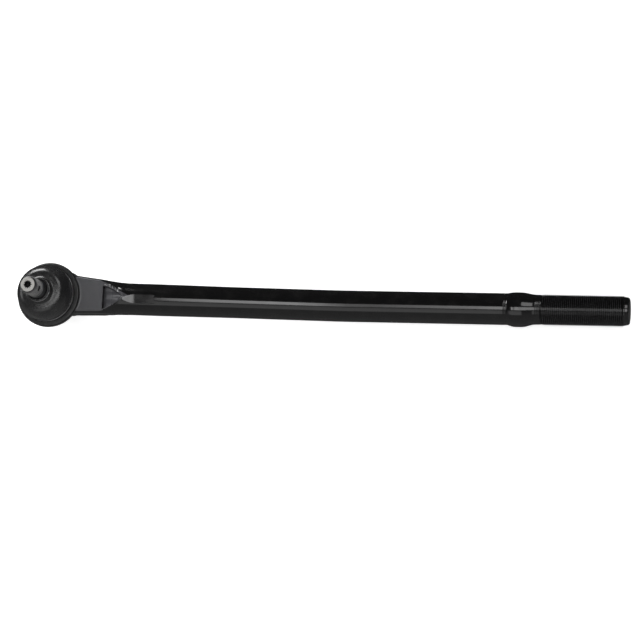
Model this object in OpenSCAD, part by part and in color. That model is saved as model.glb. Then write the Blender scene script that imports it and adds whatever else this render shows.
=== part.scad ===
// Tie rod end: a long forged rod with a threaded shank at one end and a sealed ball joint at the other.
// Origin: the centre of the ball. +Z: along the stud, towards its tip. +X: along the threaded shank's axis.

/* [Rod] */
// Distance from the ball's centre to the end of the shank
rod_reach = 465; // [440:1:500]
// How far the shank's axis passes from the ball's centre
axis_offset = 3.4; // [1:0.1:6]
// Distance from the ball's centre to the slight bend in the bar
bend_at = 240; // [200:1:280]
// Diameter of the bar
bar_d = 24.7; // [24:0.1:25.2]
// Diameter of the bar next to the neck
bar_root_d = 25.5; // [25:0.1:26.5]

/* [Shank thread] */
// Nominal diameter of the shank's thread
shank_d = 24; // [23.6:0.1:24.2]
// Pitch of both threads
thread_pitch = 1.5; // [1.25:0.25:1.75]
// Length of the shank's thread
shank_thread_len = 65; // [40:1:70]
// Diameter of the plain relief behind the thread
relief_d = 23.4; // [23:0.1:23.6]
// Diameter of the upset collar
collar_d = 27; // [26:0.1:28]

/* [Housing] */
// Outer diameter of the ball housing's flange
housing_d = 52; // [51.5:0.5:54]
// Bore that takes the bearings
bore_d = 30.6; // [30.4:0.1:30.7]
// Width of the neck where it leaves the housing
neck_w = 30; // [27:0.5:31]
// Height of the neck's flat pads above the rod's middle plane
pad_h = 9.5; // [8.5:0.1:10]

/* [Ball stud] */
// Diameter of the ball
ball_d = 26; // [25.9:0.05:26.05]
// Height of the stud's tip above the ball's centre
stud_h = 62; // [60:0.5:66]
// Nominal diameter of the stud's thread
stud_d = 14; // [13.8:0.1:14.1]
// Large diameter of the stud's taper
taper_d = 16.8; // [16:0.1:16.9]
// Height above the ball's centre at which the taper starts
taper_z = 25; // [24.5:0.1:26]
// Length of the taper, whose ratio is one in eight of diameter to length
taper_len = 20; // [14:0.5:20]
// Diameter of the split pin hole
pin_hole_d = 3.2; // [2.5:0.1:3.6]
// Direction of the split pin hole about the stud
pin_hole_turn = -14; // [-90:1:90]

/* [Fits] */
// Radial play between turning pieces
play = 0.05; // [0.03:0.01:0.08]

/* [Hidden] */
$fn = 96;

// Rod, measured along the shank's axis from the ball's centre
bar_turn = atan(axis_offset / bend_at);
bend_r = 600;
bend_half = bend_r * tan(bar_turn / 2);
bend_lap = 0.05;
bend_sink = 0.12;
pilot_len = 3.8;
thread_end = rod_reach - pilot_len;
thread_start = thread_end - shank_thread_len;
relief_len = 5;
relief_start = thread_start - relief_len;
collar_taper_len = 8;
collar_taper_start = relief_start - collar_taper_len;
collar_len = 12;
collar_start = collar_taper_start - collar_len;
collar_root_len = 3.5;
collar_root = collar_start - collar_root_len;
collar_root_depth = 0.15;
collar_edge = 0.6;
pilot_bevel = 0.9;
thread_depth = 0.6134 * thread_pitch;
pilot_r = shank_d / 2 - thread_depth;

// Neck and pocket
neck_in = 10;
pad_end = 45;
neck_end = 64;
neck_side = 1.2;
neck_splay = 1;
neck_taper = 3;
neck_corner = 3;
pad_corner = 4;
neck_sink = 0.3;
root_end = 90;
slim_at = 150;
pocket_floor = 6.6;
pocket_w = 17;
pocket_wall = 0.4;
flat_start = 64;
flat_end = 89;
flat_depth = 0.62;
flat_w = 12;

// Housing heights
rim_z = 11.3;
spigot_top = 17.5;
spigot_r = 20.3;
flange_low = 7.6;
flange_bevel = 0.5;
rim_bevel = 1;
spigot_bevel = 0.6;
housing_wall = [[16.2, -18], [17.3, -16.9], [17.95, -15.4], [19.6, -10.5], [21.4, -4.5], [22.7, 1], [23.6, 5.2]];
bore_top = 7.6;
opening_r = 12.4;
mouth_r = 17.2;
plate_z = -14.7;
plate_t = 1.9;
plate_r = 16.5;
lip_bottom = -18;
lip_r = 15;
seat_bottom = -13.6;
seat_top = -1.2;
seat_hole_r = 2;
bearing_bottom = -0.6;
bearing_gap = 0.1;
washer_in = 8;
washer_out = 13.6;
washer_t = 0.6;
washer_cone = 0.35;
plate_dish = 1.5;
plate_edge = 0.6;
seal_w = 0.8;
seal_t = 0.5;

// Ball and stud
ball_r = ball_d / 2;
seat_r = ball_r + play;
bearing_r = bore_d / 2 - play;
ball_cut = 1.4;
tilt_max = 25;
shank_r = 7.2;
swing_gap = 0.4;
swing_r = shank_r / cos(tilt_max) + swing_gap;
taper_top_d = taper_d - taper_len / 8;
taper_blend = 4;
stud_relief = 0.6;
stud_thread_z = taper_z + taper_len + stud_relief;
pin_hole_drop = 9;
stud_root_r = stud_d / 2 - thread_depth;
tip_chamfer = 1.35;
star_r = 3.4;
star_depth = 3;
star_points = 12;
star_inner = 0.8;

// Boot
boot_foot = rim_z + 0.3;
boot_lip_z = 38.7;
clip_z = 14.7;
clip_wire = 0.75;
clip_seat_r = 21.4;
ring_z = 36;
ring_wire = 0.6;
ring_seat_r = 9;
wire_gap = 0.05;

// Grease nipple
nipple_hole_r = 3;
nipple_hex = 8;
nipple_hex_h = 3.4;
nipple_hex_gap = 1.6;
nipple_inside = 0.6;
nipple_fit = 0.02;
nipple_head_r = 3.2;
nipple_waist_r = 2.3;
nipple_foot_r = 3.4;
nipple_mouth_z = -30;
nipple_seat_z = -28.4;
nipple_mouth_r = 0.7;
check_r = 1;
check_bore_r = 1.15;
check_gap = 0.03;
coil_gap = 0.08;
spring_stop_z = -17.6;
spring_wire = 0.2;
spring_turns = 6;

// Annular thread form: a profile of equal ridges along the revolve's axis, from z0 up to z1
function ridge_points(r, z0, z1) = let (
    n = floor((z1 - z0) / thread_pitch),
    root = r - thread_depth,
    run = thread_depth * tan(30),
    crest = thread_pitch / 8
) [for (i = [0:n - 1]) let (z = z0 + i * thread_pitch)
    each [[root, z], [r, z + run], [r, z + run + crest], [root, z + 2 * run + crest]]];

function arc(cx, cy, r, a0, a1, n = 10) = [for (i = [0:n]) let (a = a0 + (a1 - a0) * i / n)
    [cx + r * cos(a), cy + r * sin(a)]];

// Stands a shape of revolution that was drawn about Z on the shank's axis
module on_shank_axis() {
    translate([0, -axis_offset, 0]) rotate([0, 90, 0]) children();
}

// Housing eye with its bearing bore, its rolled lip and the spigot that carries the boot
module housing_outside() {
    rotate_extrude() polygon(concat(
        [[0, lip_bottom]],
        housing_wall,
        [[housing_d / 2 - flange_bevel, flange_low - flange_bevel], [housing_d / 2, flange_low]],
        [[housing_d / 2, rim_z - rim_bevel], [housing_d / 2 - rim_bevel, rim_z]],
        [[spigot_r, rim_z], [spigot_r, spigot_top - spigot_bevel]],
        [[spigot_r - spigot_bevel, spigot_top], [0, spigot_top]]));
}

module housing_inside() {
    translate([0, 0, plate_z]) cylinder(r = bore_d / 2, h = bore_top - plate_z);
    translate([0, 0, plate_z - plate_t]) cylinder(r = plate_r, h = plate_t);
    translate([0, 0, lip_bottom - 1]) cylinder(r = lip_r, h = plate_z - lip_bottom + 1);
    translate([0, 0, bore_top]) cylinder(r1 = opening_r, r2 = mouth_r, h = spigot_top - bore_top);
    translate([0, 0, spigot_top]) cylinder(r = mouth_r, h = 1);
}

// Rounded bar section of a given width and height, drawn across the rod
module neck_section(x, w, h, shift, corner) {
    translate([x, shift, 0]) rotate([90, 0, 90]) linear_extrude(0.1) hull()
        for (sy = [-1, 1], sz = [-1, 1])
            translate([sy * (w / 2 - corner), sz * (h - corner)]) circle(corner, $fn = 32);
}

module neck() {
    hull() {
        neck_section(neck_in, neck_w + neck_splay, pad_h, neck_side, neck_corner);
        neck_section(pad_end, neck_w - neck_taper, pad_h, neck_side / 2, pad_corner);
    }
    hull() {
        neck_section(pad_end, neck_w - neck_taper, pad_h, neck_side / 2, pad_corner);
        neck_section(neck_end, bar_root_d - 2 * neck_sink, bar_root_d / 2 - neck_sink, 0, bar_root_d / 2 - 0.4);
    }
}

// Wedge pocket behind the pad: its floor climbs from the pad's end to the bar's surface
module pocket() {
    climb = atan((bar_root_d / 2 - pocket_floor) / (neck_end - pad_end - 2));
    translate([pad_end + pocket_wall, -pocket_w / 2, pocket_floor]) {
        rotate([0, -climb, 0]) cube([30, pocket_w, 12]);
        cube([2, pocket_w, 12]);
    }
}

module bar_before_bend() {
    len = bend_at / cos(bar_turn) - bend_half;
    rotate([0, 0, -bar_turn]) rotate([0, 90, 0]) {
        translate([0, 0, neck_end - 4]) cylinder(d = bar_root_d, h = root_end - neck_end + 4);
        translate([0, 0, root_end]) cylinder(d1 = bar_root_d, d2 = bar_d, h = slim_at - root_end);
        translate([0, 0, slim_at]) cylinder(d = bar_d, h = len - slim_at);
    }
}

// The bend is a short arc of large radius; it is a hair thinner than the bar, so that its ends sink into the bar
module bar_bend() {
    translate([bend_at + bend_half, -axis_offset + bend_r, 0]) rotate([0, 0, -90 - bar_turn - bend_lap])
        rotate_extrude(angle = bar_turn + 2 * bend_lap, $fn = 720) translate([bend_r, 0])
            circle(d = bar_d - 2 * bend_sink);
}

module bar_after_bend() {
    on_shank_axis() rotate_extrude() polygon(concat(
        [[0, bend_at + bend_half], [bar_d / 2, bend_at + bend_half], [bar_d / 2, collar_root - 1]],
        [[bar_d / 2 - collar_root_depth, collar_root], [collar_d / 2 - collar_edge, collar_start - 1]],
        [[collar_d / 2, collar_start + 2], [collar_d / 2, collar_taper_start]],
        [[relief_d / 2, relief_start], [relief_d / 2, thread_start - 0.5], [pilot_r, thread_start]],
        ridge_points(shank_d / 2, thread_start, thread_end),
        [[pilot_r, thread_end], [pilot_r, rod_reach - pilot_bevel]],
        [[pilot_r - pilot_bevel, rod_reach], [0, rod_reach]]));
}

// Shallow flat on top of the bar, running out towards the neck and ending in a step
module bar_flat() {
    slope = atan(flat_depth / (flat_end - flat_start));
    rotate([0, 0, -bar_turn]) translate([flat_start, -flat_w / 2, bar_root_d / 2]) rotate([0, slope, 0])
        cube([flat_end - flat_start, flat_w, 3]);
}

module rod_forging() {
    color([0.06, 0.06, 0.065]) difference() {
        union() {
            housing_outside();
            neck();
            bar_before_bend();
            bar_bend();
            bar_after_bend();
        }
        housing_inside();
        pocket();
        bar_flat();
    }
}

// Seat over the top of the ball, open in a cone so that the stud can tilt
module upper_bearing() {
    color([0.85, 0.84, 0.78]) difference() {
        translate([0, 0, bearing_bottom]) cylinder(r = bearing_r, h = bore_top - bearing_gap - bearing_bottom);
        sphere(r = seat_r);
        cylinder(r1 = swing_r, r2 = swing_r + bore_top * tan(tilt_max), h = bore_top);
    }
}

// Cup under the ball
module lower_seat() {
    color([0.8, 0.79, 0.72]) difference() {
        translate([0, 0, seat_bottom]) cylinder(r = bearing_r, h = seat_top - seat_bottom);
        sphere(r = seat_r);
        translate([0, 0, seat_bottom - 1]) cylinder(r = seat_hole_r, h = 5);
    }
}

// Coned washer between the cup and the cover plate
module disc_spring() {
    top = seat_bottom - play;
    color([0.55, 0.55, 0.58]) rotate_extrude() polygon([[washer_in, top - washer_cone - washer_t],
        [washer_out, top - washer_t], [washer_out, top], [washer_in, top - washer_cone]]);
}

module cover_plate() {
    edge_r = plate_r - play;
    bottom = plate_z - plate_t + play;
    step_r = plate_r - 1;
    color([0.7, 0.68, 0.6]) difference() {
        rotate_extrude() polygon([[0, plate_z - plate_dish], [washer_in, plate_z - plate_dish], [washer_out, bottom],
            [edge_r, bottom], [edge_r, plate_z - plate_edge], [step_r, plate_z - plate_edge],
            [step_r - 0.3, plate_z - play], [0, plate_z - play]]);
        translate([0, 0, plate_z - 5]) cylinder(r = nipple_hole_r, h = 8);
    }
}

// Sealing ring in the corner between the cover plate and its seat
module cover_seal() {
    outer = plate_r - 2 * play;
    inner = outer - seal_w;
    color([0.1, 0.1, 0.1]) rotate_extrude() polygon([[inner, plate_z - play - seal_t], [outer, plate_z - play - seal_t],
        [outer, plate_z - play], [inner - 0.25, plate_z - play]]);
}

module ball_stud() {
    color([0.55, 0.55, 0.57]) difference() {
        union() {
            difference() {
                sphere(r = ball_r);
                translate([0, 0, -ball_r - 1]) cylinder(r = ball_r, h = ball_cut + 1);
            }
            cylinder(r = shank_r, h = taper_z - taper_blend + 1);
            translate([0, 0, taper_z - taper_blend]) cylinder(r1 = shank_r, r2 = taper_d / 2, h = taper_blend);
            translate([0, 0, taper_z]) cylinder(d1 = taper_d, d2 = taper_top_d, h = taper_len);
            rotate_extrude() polygon(concat(
                [[0, taper_z + 1], [stud_root_r, taper_z + 1], [stud_root_r, stud_thread_z]],
                ridge_points(stud_d / 2, stud_thread_z, stud_h - tip_chamfer),
                [[stud_root_r, stud_h - tip_chamfer + 0.7], [stud_d / 2 - tip_chamfer, stud_h], [0, stud_h]]));
        }
        translate([0, 0, stud_h - pin_hole_drop]) rotate([0, 90, pin_hole_turn])
            cylinder(d = pin_hole_d, h = stud_d + 4, center = true);
        translate([0, 0, stud_h - star_depth]) linear_extrude(star_depth + 1) polygon([for (i = [0:2 * star_points - 1])
            let (a = 180 * i / star_points, r = i % 2 == 0 ? star_r : star_r * star_inner) [r * cos(a), r * sin(a)]]);
    }
}

// Rubber boot: foot on the housing's spigot, bulged wall, flat shoulder and a neck round the stud's taper
module dust_boot() {
    color([0.16, 0.16, 0.17]) rotate_extrude() polygon(concat(
        [[spigot_r + 0.2, boot_foot], [22.2, boot_foot], [22.2, clip_z - 1.1], [clip_seat_r, clip_z - 0.8]],
        [[clip_seat_r, clip_z + 0.8], [22.1, clip_z + 1.3], [22.3, 18], [22.2, 20]],
        arc(14.5, 20.8, 7.6, 12, 58, 6),
        [[17.4, 31.6], [16.6, 32.1], [13, 31.7], [10.8, 32.3], [9.5, 34]],
        [[ring_seat_r, ring_z - 0.9], [ring_seat_r, ring_z + 0.9], [9.4, ring_z + 1.4], [9.3, boot_lip_z]],
        [[8.05, boot_lip_z], [8.05, 33.6], [8.8, 31.4], [10.4, 30.1], [13, 29.6], [15.6, 29.9]],
        [[17.2, 28], [18.8, 25.2], [20.1, 22], [20.4, 19.5], [spigot_r + 0.2, spigot_top]]));
}

module wire_ring(seat_r, wire) {
    rotate_extrude() translate([seat_r + wire + wire_gap, 0]) circle(r = wire);
}

module boot_base_clip() {
    color([0.3, 0.3, 0.32]) translate([0, 0, clip_z]) wire_ring(clip_seat_r, clip_wire);
}

module boot_neck_ring() {
    color([0.6, 0.6, 0.62]) translate([0, 0, ring_z]) wire_ring(ring_seat_r, ring_wire);
}

// Nipple: threaded spigot in the plate, hexagon, then the conical head with the check valve's seat in its mouth
module nipple_body() {
    top = plate_z + nipple_inside;
    hex_top = plate_z - nipple_hex_gap;
    hex_bottom = hex_top - nipple_hex_h;
    mouth = nipple_mouth_z;
    color([0.75, 0.7, 0.45]) difference() {
        union() {
            translate([0, 0, hex_bottom]) cylinder(r = nipple_hole_r - nipple_fit, h = top - hex_bottom);
            translate([0, 0, hex_bottom]) cylinder(d = nipple_hex / cos(30), h = hex_top - hex_bottom, $fn = 6);
            rotate_extrude() polygon([[0, mouth], [nipple_head_r / 2, mouth], [nipple_head_r, mouth + 2],
                [nipple_head_r, mouth + 3.2], [nipple_waist_r, mouth + 4.6], [nipple_waist_r, mouth + 6.2],
                [nipple_foot_r, hex_bottom - 0.6], [nipple_foot_r, hex_bottom + 0.2], [0, hex_bottom + 0.2]]);
        }
        translate([0, 0, nipple_seat_z]) cylinder(r = check_bore_r, h = spring_stop_z - nipple_seat_z);
        translate([0, 0, nipple_mouth_z - 1]) cylinder(r = nipple_mouth_r, h = 20);
    }
}

module nipple_check_ball() {
    color([0.8, 0.8, 0.82]) translate([0, 0, nipple_seat_z + check_r + check_gap]) sphere(r = check_r);
}

// Coil spring behind the check ball: a round wire swept along a helix
module nipple_spring() {
    steps = 14;
    sides = 8;
    coil_r = check_bore_r - spring_wire - coil_gap;
    z0 = nipple_seat_z + 2 * check_r + 2 * check_gap + spring_wire;
    z1 = spring_stop_z - spring_wire - check_gap;
    n = spring_turns * steps;
    points = [for (i = [0:n], k = [0:sides - 1]) let (
            a = 360 * i / steps,
            b = 360 * k / sides,
            r = coil_r + spring_wire * cos(b))
        [r * cos(a), r * sin(a), z0 + (z1 - z0) * i / n + spring_wire * sin(b)]];
    walls = [for (i = [0:n - 1], k = [0:sides - 1]) let (m = (k + 1) % sides)
        [i * sides + k, (i + 1) * sides + k, (i + 1) * sides + m, i * sides + m]];
    start_cap = [for (k = [0:sides - 1]) k];
    end_cap = [for (k = [sides - 1:-1:0]) n * sides + k];
    color([0.7, 0.7, 0.72]) polyhedron(points = points, faces = concat(walls, [start_cap, end_cap]));
}

rod_forging();
upper_bearing();
lower_seat();
disc_spring();
cover_plate();
cover_seal();
ball_stud();
dust_boot();
boot_base_clip();
boot_neck_ring();
nipple_body();
nipple_check_ball();
nipple_spring();
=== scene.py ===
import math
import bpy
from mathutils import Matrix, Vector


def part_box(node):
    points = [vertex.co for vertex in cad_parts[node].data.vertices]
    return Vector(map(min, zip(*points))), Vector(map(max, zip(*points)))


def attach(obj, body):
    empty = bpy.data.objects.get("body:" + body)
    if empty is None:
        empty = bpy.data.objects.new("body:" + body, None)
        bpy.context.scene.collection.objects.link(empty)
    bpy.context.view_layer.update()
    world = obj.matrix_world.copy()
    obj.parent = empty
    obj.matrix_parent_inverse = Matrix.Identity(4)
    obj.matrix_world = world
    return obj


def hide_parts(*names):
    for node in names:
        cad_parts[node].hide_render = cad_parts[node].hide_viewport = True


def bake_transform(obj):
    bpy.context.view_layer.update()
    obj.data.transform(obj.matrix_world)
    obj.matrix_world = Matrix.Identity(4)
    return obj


bl_info = {
    "name": "Tie Rod End",
    "version": (1, 0, 0),
    "blender": (4, 5, 0),
    "location": "View3D > Sidebar > Tie Rod End",
    "description": "Shapes and finishes of a tie rod end: forging, threads, ball stud, boot, clips, cover and grease nipple",
    "category": "Add Mesh",
}

import bmesh
import bpy
import numpy as np
from bpy.props import FloatProperty, FloatVectorProperty, IntProperty, PointerProperty
from mathutils import Matrix, Vector

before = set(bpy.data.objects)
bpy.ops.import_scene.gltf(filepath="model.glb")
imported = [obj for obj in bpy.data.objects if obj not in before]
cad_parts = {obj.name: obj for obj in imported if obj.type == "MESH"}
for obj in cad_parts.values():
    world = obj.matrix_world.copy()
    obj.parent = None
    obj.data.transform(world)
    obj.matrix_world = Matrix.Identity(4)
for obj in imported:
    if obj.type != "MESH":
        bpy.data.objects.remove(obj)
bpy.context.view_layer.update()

MM = 0.001
TURN = 2 * math.pi


def node_box(node):
    """Lowest and highest corner of a CAD node, in millimetres."""
    low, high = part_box(node)
    return low / MM, high / MM


ROD_LOW, ROD_HIGH = node_box("rod_forging")
STUD_LOW, STUD_HIGH = node_box("ball_stud")
BOOT_LOW, BOOT_HIGH = node_box("dust_boot")
CLIP_LOW, CLIP_HIGH = node_box("boot_base_clip")
RING_LOW, RING_HIGH = node_box("boot_neck_ring")
PLATE_LOW, PLATE_HIGH = node_box("cover_plate")
NIPPLE_LOW, NIPPLE_HIGH = node_box("nipple_body")


# ---------------------------------------------------------------- sizes and colours


def length(name, description, millimetres):
    """Property for a length, whose default is given in millimetres."""
    return FloatProperty(name=name, description=description, default=millimetres * MM, unit="LENGTH")


def colour(name, description, value):
    """Property for a colour."""
    return FloatVectorProperty(name=name, description=description, subtype="COLOR", default=value)


class RodSizes(bpy.types.PropertyGroup):
    """Sizes of the forged rod."""

    eye_radius: length("Eye Radius", "Outer radius of the ball housing's flange", 26)
    bore_radius: length("Bore Radius", "Radius of the bore that takes the bearings", 15.3)
    bar_radius: length("Bar Radius", "Radius of the bar", 12.35)
    root_radius: length("Root Radius", "Radius of the bar next to the neck", 12.75)
    collar_radius: length("Collar Radius", "Radius of the upset collar", 13.5)
    thread_radius: length("Thread Radius", "Crest radius of the shank's thread", 12.0)
    pad_height: FloatProperty(
        name="Pad Height", description="Height of the neck's flat pads above the middle plane",
        default=9.5 * MM, unit="LENGTH")
    pocket_floor: length("Pocket Floor", "Height of the pocket's floor at its deep end", 6.6)
    axis_offset: FloatProperty(
        name="Axis Offset", description="How far the shank's axis passes from the ball's centre",
        default=3.4 * MM, unit="LENGTH")
    bend_at: length("Bend At", "Distance from the ball's centre to the slight bend", 240)
    steps: IntProperty(
        name="Steps", description="Facets round the shank's thread and the eye", default=128, min=24)


class StudSizes(bpy.types.PropertyGroup):
    """Sizes of the ball stud."""

    ball_radius: length("Ball Radius", "Radius of the ball", 13)
    shank_radius: length("Shank Radius", "Radius of the plain shank above the ball", 7.2)
    taper_radius: length("Taper Radius", "Radius at the taper's large end", 8.4)
    taper_start: length("Taper Start", "Height at which the taper starts", 25)
    taper_length: length("Taper Length", "Length of the taper, one in eight on diameter", 20)
    thread_radius: length("Thread Radius", "Crest radius of the stud's thread", 7)
    pitch: length("Pitch", "Pitch of both threads", 1.5)
    pin_hole_radius: length("Pin Hole Radius", "Radius of the split pin hole", 1.6)
    pin_hole_turn: FloatProperty(
        name="Pin Hole Turn", description="Direction of the split pin hole about the stud",
        default=math.radians(-14), unit="ROTATION", subtype="ANGLE")
    star_radius: length("Star Radius", "Outer radius of the star drive in the tip", 3.4)
    star_points: IntProperty(
        name="Star Points", description="Points of the star drive", default=12, min=3)


class SealSizes(bpy.types.PropertyGroup):
    """Sizes of the boot, its clips and the grease nipple."""

    boot_steps: IntProperty(
        name="Boot Steps", description="Facets round the boot", default=144, min=24)
    clip_wire: length("Clip Wire", "Radius of the wire of the boot's base clip", 0.38)
    ring_wire: length("Ring Wire", "Radius of the wire of the boot's neck ring", 0.3)
    hexagon: length("Hexagon", "Size across the nipple's flats", 8)


class Colours(bpy.types.PropertyGroup):
    """Colours of the finishes."""

    paint: colour("Paint", "Black paint of the forging", (0.0045, 0.0045, 0.0047))
    bare_iron: colour("Bare Iron", "Forging where the paint has thinned", (0.05, 0.05, 0.052))
    # painted sheen: paler colour for the pad's top and the pocket, where these faces catch the light
    pad_sheen: colour("Forged Skin", "Thin paint over scale on the neck", (0.055, 0.055, 0.06))
    rubber: colour("Rubber", "Rubber of the boot", (0.013, 0.013, 0.0135))
    dust: colour("Dust", "Dust and bloom", (0.16, 0.155, 0.15))
    stud: colour("Stud", "Oiled steel of the stud", (0.14, 0.14, 0.145))
    bright_steel: colour("Bright Steel", "Freshly cut steel", (0.5, 0.49, 0.47))
    zinc: colour("Zinc", "Zinc plate of the cover and nipple", (0.6, 0.57, 0.47))
    polymer: colour("Polymer", "Polymer of the ball's seats", (0.66, 0.63, 0.54))


class StageSizes(bpy.types.PropertyGroup):
    """Camera and studio."""

    target: FloatVectorProperty(
        name="Target", description="Point in the middle of the camera's view", subtype="TRANSLATION",
        default=(222.23 * MM, -14.74 * MM, 0))
    distance: FloatProperty(
        name="Distance", description="Distance from the target to the camera", default=1.9, unit="LENGTH")
    lean_x: FloatProperty(
        name="Lean Along Rod", description="How far the camera leans towards the shank", unit="ROTATION",
        default=math.radians(12.55))
    lean_y: FloatProperty(
        name="Lean Across Rod", description="How far the camera leans across the rod", unit="ROTATION",
        default=math.radians(-8.08))
    roll: FloatProperty(
        name="Roll", description="Roll of the camera", default=math.radians(1.12), unit="ROTATION")
    lens: FloatProperty(
        name="Lens", description="Focal length of the camera, in millimetres", default=135.65)
    floor_colour: colour("Floor", "Colour of the floor", (0.85, 0.85, 0.85))


class TieRodSettings(bpy.types.PropertyGroup):
    """All the values of the tie rod end."""

    rod: PointerProperty(type=RodSizes)
    stud: PointerProperty(type=StudSizes)
    seal: PointerProperty(type=SealSizes)
    colours: PointerProperty(type=Colours)
    stage: PointerProperty(type=StageSizes)


# ---------------------------------------------------------------- surfaces


def grid_faces(rows, columns, wrap_rows, wrap_columns, first):
    """Quads that join each point of a grid to the next row and the next column; first is the grid's first
    index."""
    index = np.arange(rows * columns).reshape(rows, columns) + first
    if wrap_rows:
        index = np.vstack([index, index[:1]])
    if wrap_columns:
        index = np.hstack([index, index[:, :1]])
    corners = [index[:-1, :-1], index[:-1, 1:], index[1:, 1:], index[1:, :-1]]
    return np.stack(corners, axis=-1).reshape(-1, 4)


def mark_edges(mesh):
    """Stores how sharply the surface bulges at each vertex, in the attribute 'edge', 1 at a radius of half
    a millimetre. The bulge is the mean, over a vertex's edges, of the normals' difference along the edge
    over its squared length."""
    count = len(mesh.vertices)
    place = np.empty(count * 3, np.float32)
    normal = np.empty(count * 3, np.float32)
    pairs = np.empty(len(mesh.edges) * 2, np.int32)
    mesh.vertices.foreach_get("co", place)
    mesh.vertex_normals.foreach_get("vector", normal)
    mesh.edges.foreach_get("vertices", pairs)
    place, normal, pairs = place.reshape(-1, 3), normal.reshape(-1, 3), pairs.reshape(-1, 2)
    step = place[pairs[:, 1]] - place[pairs[:, 0]]
    turn = normal[pairs[:, 1]] - normal[pairs[:, 0]]
    bulge = (step * turn).sum(1) / np.maximum((step * step).sum(1), 1e-12)
    total = np.bincount(pairs.ravel(), np.repeat(bulge, 2), minlength=count)
    number = np.bincount(pairs.ravel(), minlength=count)
    attribute = mesh.attributes.new("edge", "FLOAT", "POINT")
    value = np.clip(total / np.maximum(number, 1) * 0.5 * MM, 0, 1)
    attribute.data.foreach_set("value", value.astype(np.float32))


def surface(name, grids, sharp=38):
    """One closed mesh from grids of points in millimetres, each given as (points, wrap rows, wrap columns).
    Points that fall together, at a pole or where a thread runs out, are merged."""
    points, faces, first = [], [], 0
    for grid, wrap_rows, wrap_columns in grids:
        rows, columns = grid.shape[:2]
        points.append(grid.reshape(-1, 3))
        faces.append(grid_faces(rows, columns, wrap_rows, wrap_columns, first))
        first += rows * columns
    mesh = bpy.data.meshes.new(name)
    mesh.from_pydata(np.vstack(points) * MM, [], np.vstack(faces))
    shape = bmesh.new()
    shape.from_mesh(mesh)
    bmesh.ops.remove_doubles(shape, verts=shape.verts, dist=1e-6)
    bmesh.ops.recalc_face_normals(shape, faces=shape.faces)
    if shape.calc_volume(signed=True) < 0:
        bmesh.ops.reverse_faces(shape, faces=shape.faces)
    shape.to_mesh(mesh)
    shape.free()
    mesh.polygons.foreach_set("use_smooth", [True] * len(mesh.polygons))
    mesh.set_sharp_from_angle(angle=math.radians(sharp))
    mark_edges(mesh)
    piece = bpy.data.objects.new(name, mesh)
    bpy.context.scene.collection.objects.link(piece)
    return piece


def rounded(corners, closed=False, arc_points=6):
    """Outline through corners given as (across, along, fillet): each corner is cut back by its fillet's
    tangent length and becomes an arc of that radius. A fillet of 0 keeps the corner."""
    place = np.array([corner[:2] for corner in corners], float)
    outline = []
    for i, (_, _, fillet) in enumerate(corners):
        at_end = not closed and i in (0, len(corners) - 1)
        if fillet == 0 or at_end:
            outline.append(place[i : i + 1])
            continue
        back = place[i - 1] - place[i]
        ahead = place[(i + 1) % len(corners)] - place[i]
        back, ahead = back / np.linalg.norm(back), ahead / np.linalg.norm(ahead)
        half = math.acos(np.clip(back @ ahead, -1, 1)) / 2
        bisector = (back + ahead) / np.linalg.norm(back + ahead)
        centre = place[i] + bisector * fillet / math.sin(half)
        start = place[i] + back * fillet / math.tan(half) - centre
        end = place[i] + ahead * fillet / math.tan(half) - centre
        sweep = math.pi - 2 * half
        share = np.linspace(0, 1, arc_points + 1)[:, None]
        arc = (np.sin((1 - share) * sweep) * start + np.sin(share * sweep) * end) / math.sin(sweep)
        outline.append(centre + arc)
    return np.vstack(outline)


def curved(points, per_span=6):
    """Smooth outline through the points: a Catmull-Rom cubic on each span."""
    p = np.array(points, float)
    p = np.vstack([2 * p[0] - p[1], p, 2 * p[-1] - p[-2]])
    t = np.linspace(0, 1, per_span, endpoint=False)[None, :, None]
    a, b, c, d = (p[k : len(p) - 3 + k, None, :] for k in range(4))
    cubic = 0.5 * (2 * b + (c - a) * t + (2 * a - 5 * b + 4 * c - d) * t**2 + (3 * b - a - 3 * c + d) * t**3)
    return np.vstack([cubic.reshape(-1, 2), p[-2:-1]])


def smooth_step(value, low, high):
    """0 below low, 1 above high, and a cubic S between them."""
    t = np.clip((value - low) / (high - low), 0, 1)
    return t * t * (3 - 2 * t)


def angles(steps):
    """Evenly spaced angles round one turn."""
    return np.arange(steps) * TURN / steps


def turned(outline, steps, across_axis=False, centre_y=0.0):
    """Outline of (radius, height) carried round Z, or round the line along X at y = centre_y: the point at
    angle a is (r cos a, r sin a, h), or (h, centre_y + r cos a, r sin a) along X."""
    a = angles(steps)[None, :]
    r, h = outline[:, :1], outline[:, 1:2] + 0 * a
    if across_axis:
        return np.stack([h, centre_y + r * np.cos(a), r * np.sin(a)], axis=-1)
    return np.stack([r * np.cos(a), r * np.sin(a), h], axis=-1)


def thread_band(start, end, crest, root, pitch, steps, run_out, lead_in):
    """Helical band of a screw thread as (radius, height, angle) arrays. One turn further on is one pitch
    up, and the form repeats each pitch: root, flank, crest, flank. Heights are held between start and end,
    where the radius is the root's, the depth fades in over run_out, and lead_in cuts the crests down to the
    root before the end."""
    form = np.array([[0.0, 0], [0.09, 0], [0.43, 1], [0.57, 1], [0.91, 0], [1.0, 0]])
    turns = int(math.ceil((end - start) / pitch)) + 2
    turn_angle = np.arange(turns * steps + 1)[:, None] * TURN / steps
    height = start - pitch + pitch * (turn_angle / TURN + form[None, :, 0])
    depth = (crest - root) * form[None, :, 1]
    fade = np.clip((height - start) / run_out, 0, 1)
    cut = np.clip((end - height) / lead_in, 0, 1)
    radius = root + np.minimum(depth * fade, (crest - root) * cut)
    held = np.clip(height, start, end)
    radius = np.where((height <= start) | (height >= end), root, radius)
    return radius, held, turn_angle + 0 * held


# ---------------------------------------------------------------- the forged rod


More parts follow.
